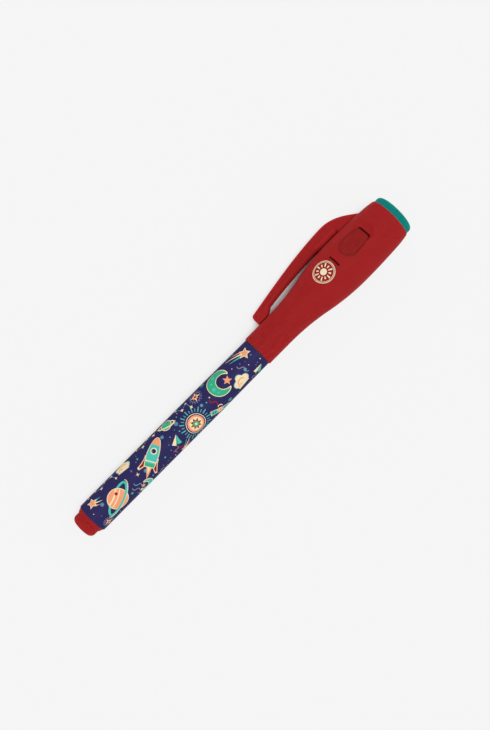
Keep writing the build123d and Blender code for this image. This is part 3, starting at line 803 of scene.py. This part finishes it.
class PEN_OT_clip_crown(bpy.types.Operator):
    """Model the rounded inner face of the pocket clip, from its foot to the end of its gap."""

    bl_idname = "pen.clip_crown"
    bl_label = "Clip crown"

    # How far the crown stands into the gap, and where on the clip's sides it starts
    crown, edge = 0.5, 0.6
    side = 1.5 * edge  # above the inner face, where the clip's half width is taken
    # It slopes down behind the foot, and comes close to the cap before the root
    foot_run, foot_clear = 2.2, 0.2
    root_run, root_slope, root_clear = 9.5, 3.5, 0.3
    # Where the gap is looked for, how high it can be, how many of its places lie in rounded
    # corners or show which way it goes on, and how far the crown is let into foot, root and clip
    tries = 120
    gap_heights = (0.8, 3.0)
    corner_places, slope_places = 3, 4
    foot_bury, root_bury, top_bury = 2.2, 2.4, 0.2
    skip = 0.05  # past one face, to look for the next

    def drop(self, station, height):
        """The height of the next face of the cap below a place on the clip's middle line."""
        return cap_tree.ray_cast(Vector((station, height, 0)), Vector((0, -1, 0)))[0].y

    def gap(self):
        """Places along the gap: station, clip's inner face, its half width, face of the cap."""
        rear, front = reach(pen_points("cap_shell"))
        least, most = self.gap_heights
        places = []
        for way in ways(self.tries)[1:-1]:
            station = rear + (front - rear) * way
            outer = self.drop(station, OUTSIDE)
            inner = self.drop(station, outer - self.skip)
            skin = self.drop(station, inner - self.skip)
            if least < inner - skin < most:
                start = Vector((station, inner + self.side, OUTSIDE))
                half = cap_tree.ray_cast(start, Vector((0, 0, -1)))[0].z
                places.append(Vector((station, inner, half, skin)))
        return places

    def execute(self, context):
        places = self.gap()
        foot, root = places[0][0], places[-1][0]
        places = places[self.corner_places : -self.corner_places]
        first, last = places[0], places[-1]
        after, before = places[self.slope_places], places[-1 - self.slope_places]
        places.insert(0, first + (first - after).normalized() * self.foot_bury)
        places.append(last + (last - before).normalized() * self.root_bury)
        mesh = bmesh.new()
        cone(mesh, first=1, last=1, depth=2, sides=36)
        long_edges = [e for e in mesh.edges if abs(e.verts[0].co.z - e.verts[1].co.z) > 1]
        cuts = len(places) - 2
        bmesh.ops.subdivide_edges(mesh, edges=long_edges, cuts=cuts, use_grid_fill=True)
        for v in mesh.verts:
            station, inner, half, skin = places[round((v.co.z + 1) / 2 * (len(places) - 1))]
            room = inner - skin - self.crown
            at_foot = min(1, max(0, 1 - (station - foot) / self.foot_run))
            at_root = min(1, max(0, (station - root + self.root_run) / self.root_slope))
            crown = self.crown + at_foot * (room - self.foot_clear)
            crown += at_root * (room - self.root_clear)
            depth = v.co.y * (self.edge + crown if v.co.y > 0 else self.top_bury)
            v.co = (station, inner + self.edge - depth, -half * v.co.x)
        cap = context.scene.pen_cap
        thin = moulded_plastic("thin_red_polypropylene", cap.red, scatter=0.0)
        new_piece("clip_crown", mesh, thin, "cap")
        return {"FINISHED"}


class PEN_OT_pad_skirt(bpy.types.Operator):
    """Model the thin skirt that stands out round the thumb pad, below its face."""

    bl_idname = "pen.pad_skirt"
    bl_label = "Pad skirt"

    # Where the pad starts from the hinge, and how far inside its outline its face is measured
    pad_start, inset = 2.0, 0.3
    # The corners of its section: out from the pad's outline, and down from the pad's face
    section = ((-0.06, 0.1), (0.085, 0.1), (0.085, 0.6), (-0.06, 0.6))

    def execute(self, context):
        points = pen_points("switch_button")
        pad = [p for p in points if p.z > pivot.z and p.x > pivot.x + self.pad_start]
        outline = [pad[i].xy for i in convex_hull_2d([p.xy for p in pad])]
        middle = sum(outline, Vector((0, 0))) / len(outline)
        face = surface_tree("switch_button")
        mesh = bmesh.new()
        rings = []
        for grow, drop in self.section:
            ring = bmesh.ops.create_circle(mesh, radius=1, segments=len(outline))["verts"]
            for v, corner in zip(ring, outline):
                away = (corner - middle).normalized()
                inside = corner - away * self.inset
                hit = face.ray_cast(Vector((*inside, OUTSIDE)), Vector((0, 0, -1)))[0]
                v.co = (*(corner + away * grow), hit.z - drop)
            rings.append(set(ring))
        for near, far in zip(rings, rings[1:] + rings[:1]):
            edges = [e for e in mesh.edges if set(e.verts) <= near or set(e.verts) <= far]
            bmesh.ops.bridge_loops(mesh, edges=edges)
        # The skirt takes the pad's darker red, which is painted shade
        colour = context.scene.pen_cap.pad
        skirt = moulded_plastic(
            "thin_grained_polypropylene", colour, 0.55, grain_mm=0.5, scatter=0.0
        )
        new_piece("pad_skirt", mesh, skirt, "button")
        return {"FINISHED"}


class PEN_OT_gate_mark(bpy.types.Operator):
    """Model the small nub left on the tail plug where its plastic flowed into the mould."""

    bl_idname = "pen.gate_mark"
    bl_label = "Gate mark"

    tip_radius, root_radius, height = 0.45, 0.6, 0.2

    def execute(self, context):
        mesh = bmesh.new()
        cone(mesh, self.tip_radius, self.root_radius, self.height, 24, along_pen)
        plug = nodes["end_plug"].data.materials[0]
        new_piece("gate_mark", mesh, plug, "pen")
        return {"FINISHED"}


class PEN_OT_film(bpy.types.Operator):
    """Finish the film round the barrel and lay the print on it."""

    bl_idname = "pen.film"
    bl_label = "Film and print"

    def execute(self, context):
        barrel = context.scene.pen_barrel
        film = printed_surface("printed_film", barrel.film, 0.42, spread=0.16)
        finish(film, "barrel_wrap")
        # Cut every half millimetre round the barrel, and where it starts to taper, to bend well
        cuts = [((0, row / 2, 0), (0, 1, 0)) for row in range(-16, 60)]
        cuts.append(((taper_start, 0, 0), (1, 0, 0)))
        art = night_sky_print()
        for ink in sorted(art.inks):
            mesh, normals = art.lay(ink, film_surface, cuts)
            if ink == "film":
                material = film
            else:
                colour = getattr(barrel, ink)
                material = printed_surface(f"{ink}_screen_ink", colour, 0.5, spread=0.07)
            new_piece(f"print_{ink}", mesh, material, "pen", normals)
        return {"FINISHED"}


class PEN_OT_badge(bpy.types.Operator):
    """Lay the printed badge on the cap."""

    bl_idname = "pen.badge"
    bl_label = "Badge"

    def execute(self, context):
        cap = context.scene.pen_cap
        station, radius = cap.badge_station / MM, cap.badge_radius / MM
        art = light_badge(radius, station)
        # Cut every half millimetre both ways, to follow the cap
        grid = [i / 2 - radius - 0.5 for i in range(int(4 * radius) + 4)]
        cuts = [((0, y, 0), (0, 1, 0)) for y in grid]
        cuts += [((station + x, 0, 0), (1, 0, 0)) for x in grid]
        mesh, normals = art.lay("badge", cap_surface, cuts)
        ink = printed_surface("badge_pad_print", cap.badge, 0.5, spread=0.06)
        new_piece("cap_badge", mesh, ink, "cap", normals)
        return {"FINISHED"}


class PEN_OT_torch(bpy.types.Operator):
    """Finish the lamp, the cells and the contacts."""

    bl_idname = "pen.torch"
    bl_label = "Torch"

    def execute(self, context):
        finish(clear_resin("cast_epoxy", "#E6DFF8", 0.02, transmission=0.9), "uv_led")
        cell = plated_metal("nickel_plated_can", "#C9C7C0", 0.3)
        finish(cell, "cell_rear", "cell_middle", "cell_front")
        strip = plated_metal("nickel_plated_strip", "#CFC9B8", 0.34)
        finish(strip, "battery_spring", "return_strip", "cell_contact", "switch_leaf")
        finish(plated_metal("tinned_wire", "#C6C8CB", 0.38), "led_anode_lead", "led_cathode_lead")
        finish(plated_metal("zinc_plated_steel", "#A9ABAE", 0.36), "head_screw")
        return {"FINISHED"}


class PEN_OT_lamp_core(bpy.types.Operator):
    """Model what shows inside the clear lamp: posts, cup, chip and wire."""

    bl_idname = "pen.lamp_core"
    bl_label = "Lamp core"

    # Corners of the thin post, the anvil post and the anvil's head, from the lamp's base
    post_boxes = (
        ((0.3, -0.25, 0.75), (4.3, 0.25, 1.5)),
        ((0.3, -0.25, -1.5), (3.2, 0.25, -0.3)),
        ((2.7, -0.25, -0.9), (3.5, 0.25, 0.4)),
    )
    post_edge = 0.06
    cup_station, cup_depth, cup_base_radius, cup_mouth_radius = 3.85, 0.9, 0.62, 0.98
    cup_wall, cup_hollow, cup_floor_share = 0.1, 0.5, 0.55
    chip_box = ((3.8, -0.17, -0.17), (3.98, 0.17, 0.17))
    wire_station, wire_radius, wire_bend, wire_sweep = 4.0, 0.035, 0.55, math.radians(170)

    def block(self, mesh, corners):
        """A box between two corners, measured from the lamp's base."""
        low, high = (Vector(corner) for corner in corners)
        size = Matrix.Diagonal((*(high - low), 1))
        middle = Matrix.Translation((low + high) / 2 + Vector((lamp_rear, 0, 0)))
        bmesh.ops.create_cube(mesh, size=1, matrix=middle @ size)

    def posts(self, plating):
        mesh = bmesh.new()
        for box in self.post_boxes:
            self.block(mesh, box)
        edges, offset = mesh.edges[:], self.post_edge
        bmesh.ops.bevel(mesh, geom=edges, offset=offset, affect="EDGES", segments=2, profile=0.5)
        new_piece("lamp_posts", mesh, plating, "cap")

    def cup(self, plating):
        mesh = bmesh.new()
        there = Matrix.Translation((lamp_rear + self.cup_station, 0, 0)) @ along_pen
        cone(mesh, self.cup_base_radius, self.cup_mouth_radius, self.cup_depth, 40, there)
        mouth = max(mesh.faces, key=lambda face: face.calc_center_median().x)
        bmesh.ops.inset_region(mesh, faces=[mouth], thickness=self.cup_wall)
        bmesh.ops.translate(mesh, verts=mouth.verts, vec=(-self.cup_hollow, 0, 0))
        middle = Matrix.Translation(-mouth.calc_center_median())
        shrink = (1, self.cup_floor_share, self.cup_floor_share)
        bmesh.ops.scale(mesh, verts=mouth.verts, vec=shrink, space=middle)
        new_piece("lamp_cup", mesh, plating, "cap")

    def chip(self):
        mesh = bmesh.new()
        self.block(mesh, self.chip_box)
        violet = moulded_plastic("lamp_chip", linear("#6E5AA8"), 0.4)
        new_piece("lamp_chip", mesh, violet, "cap")

    def wire(self):
        mesh = bmesh.new()
        foot = Vector((lamp_rear + self.wire_station, 0, 0))
        bend = foot + Vector((0, 0, self.wire_bend))
        there = Matrix.Translation(foot) @ along_pen
        bmesh.ops.create_circle(mesh, radius=self.wire_radius, segments=10, matrix=there)
        bmesh.ops.spin(
            mesh, geom=whole(mesh), cent=bend, axis=(0, 1, 0), angle=self.wire_sweep, steps=20
        )
        bmesh.ops.holes_fill(mesh, edges=mesh.edges[:], sides=12)
        gold = plated_metal("gold_bond_wire", "#D9B45A", 0.3)
        new_piece("lamp_wire", mesh, gold, "cap")

    def execute(self, context):
        plating = nodes["led_anode_lead"].data.materials[0]
        self.posts(plating)
        self.cup(plating)
        self.chip()
        self.wire()
        return {"FINISHED"}


class PEN_OT_writing(bpy.types.Operator):
    """Finish the nib, the reservoir and its jacket."""

    bl_idname = "pen.writing"
    bl_label = "Writing parts"

    def execute(self, context):
        finish(bundled_fibre("sintered_fibre", "#EFEEE8", fibre_mm=0.12), "nib")
        finish(bundled_fibre("polyester_fibre", "#E9E7DD", fibre_mm=0.2), "ink_reservoir")
        finish(clear_resin("clear_film", "#E6EAEC", 0.15, transmission=0.7), "reservoir_jacket")
        return {"FINISHED"}


class PEN_OT_stage(bpy.types.Operator):
    """Set up the floor, the light and the camera."""

    bl_idname = "pen.stage"
    bl_label = "Stage"

    floor_half = 2.0  # metres
    # Shares of open sky at which the floor's shadow shows in full, and at which it is softened
    closed, opened = 0.2, 0.5
    key_from = (0.06, 0.0, 1.0)
    key_width = math.radians(20)

    def card(self, stage):
        """Matt pale card. The camera sees its shadow softened, but not where something is close."""
        colour = (*stage.floor, 1)
        look = Look("pale_card", Base_Color=colour, Roughness=0.9, Specular_IOR_Level=0.0)
        seen = look.add("ShaderNodeLightPath", "Is Camera Ray")
        reached = {"Distance": stage.contact}
        close = look.add("ShaderNodeAmbientOcclusion", "AO", reached, samples=16)
        span = {"From Min": self.closed, "From Max": self.opened, "To Max": 1 - stage.shadow}
        bare = look.add("ShaderNodeMapRange", "Result", {"Value": close, **span})
        soften = look.add("ShaderNodeMath", 0, {0: seen, 1: bare}, operation="MULTIPLY")
        plain = look.add("ShaderNodeEmission", 0, {"Color": colour, "Strength": 1.0})
        layers = {0: soften, 1: look.shader.outputs["BSDF"], 2: plain}
        both = look.add("ShaderNodeMixShader", 0, layers)
        look.tree.links.new(both, look.output.inputs["Surface"])
        return look.material

    def execute(self, context):
        scene = context.scene
        stage = scene.pen_stage
        scene.view_settings.view_transform = "Standard"

        # Pale card floor with a light shadow of the pen
        card = bmesh.new()
        bmesh.ops.create_grid(card, x_segments=1, y_segments=1, size=self.floor_half)
        mesh = bpy.data.meshes.new("floor")
        card.to_mesh(mesh)
        card.free()
        mesh.materials.append(self.card(stage))
        new_object("floor", mesh)

        # Even light from all round; the camera sees the floor's own pale colour there
        scene.world = bpy.data.worlds.new("studio")
        air = Nodes(scene.world)
        ray = add_node(air.tree, "ShaderNodeLightPath").outputs
        seen = ray["Is Camera Ray"]
        for kind in ("Is Glossy Ray", "Is Transmission Ray"):
            either = {0: seen, 1: ray[kind]}
            seen = air.add("ShaderNodeMath", 0, either, operation="MAXIMUM")
        pale = {"Color": (*stage.floor, 1), "Strength": 1.0}
        white = {"Color": (1, 1, 1, 1), "Strength": stage.sky}
        sky, backdrop = (air.add("ShaderNodeBackground", 0, light) for light in (white, pale))
        both = air.add("ShaderNodeMixShader", 0, {0: seen, 1: sky, 2: backdrop})
        add_node(air.tree, "ShaderNodeOutputWorld", {"Surface": both})

        # Soft key from overhead, a little towards the cap's end
        lamp = bpy.data.lights.new("key", "SUN")
        lamp.energy = stage.key
        lamp.angle = self.key_width
        key = new_object("key", lamp)
        key.rotation_euler = Vector(self.key_from).to_track_quat("Z", "Y").to_euler()

        # Camera at the photograph's angle, with the pen slanting up to the right
        back = pen_axes @ Vector((0, -math.sin(stage.turn), math.cos(stage.turn)))
        clip_side = pen_axes @ Vector((0, math.cos(stage.turn), math.sin(stage.turn)))
        stand = pen_to_row @ Vector((stage.foot, 0, 0)) + back * stage.distance
        aim = pen_to_row @ Vector((stage.aim, 0, 0)) - clip_side * stage.side
        view = (stand - aim).normalized()
        level = (along - view * along.dot(view)).normalized()
        upright = view.cross(level)
        right = level * math.cos(stage.slant) - upright * math.sin(stage.slant)
        up = level * math.sin(stage.slant) + upright * math.cos(stage.slant)
        shot = bpy.data.cameras.new("camera")
        shot.sensor_fit = "VERTICAL"
        shot.sensor_height = 36.0
        shot.lens = stage.lens
        scene.camera = new_object("camera", shot)
        facing = Matrix((right, up, view)).transposed().to_4x4()
        scene.camera.matrix_world = Matrix.Translation(stand) @ facing
        return {"FINISHED"}


class PEN_PT_sidebar(bpy.types.Panel):
    """Lists the steps that dress the pen."""

    bl_idname = "PEN_PT_sidebar"
    bl_label = "Pen"
    bl_space_type = "VIEW_3D"
    bl_region_type = "UI"
    bl_category = "Pen"

    def draw(self, context):
        column = self.layout.column()
        for step in steps:
            column.operator(step.bl_idname)
        for name, group in groups.items():
            for key in group.__annotations__:
                column.prop(getattr(context.scene, name), key)


groups = {"pen_cap": PenCap, "pen_barrel": PenBarrel, "pen_stage": PenStage}
steps = (
    PEN_OT_mouldings,
    PEN_OT_clip_crown,
    PEN_OT_pad_skirt,
    PEN_OT_gate_mark,
    PEN_OT_film,
    PEN_OT_badge,
    PEN_OT_torch,
    PEN_OT_lamp_core,
    PEN_OT_writing,
    PEN_OT_stage,
)


def register():
    """Registers the settings, the steps and the panel."""
    for item in (*groups.values(), *steps, PEN_PT_sidebar):
        bpy.utils.register_class(item)
    for name, group in groups.items():
        setattr(bpy.types.Scene, name, PointerProperty(type=group))


def unregister():
    """Removes what register added."""
    for name in groups:
        delattr(bpy.types.Scene, name)
    for item in (PEN_PT_sidebar, *reversed(steps), *reversed(tuple(groups.values()))):
        bpy.utils.unregister_class(item)


def main():
    """Registers the add-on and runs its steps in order."""
    register()
    for step in steps:
        area, name = step.bl_idname.split(".")
        getattr(getattr(bpy.ops, area), name)()
    bpy.context.view_layer.update()


if __name__ == "__main__":
    main()
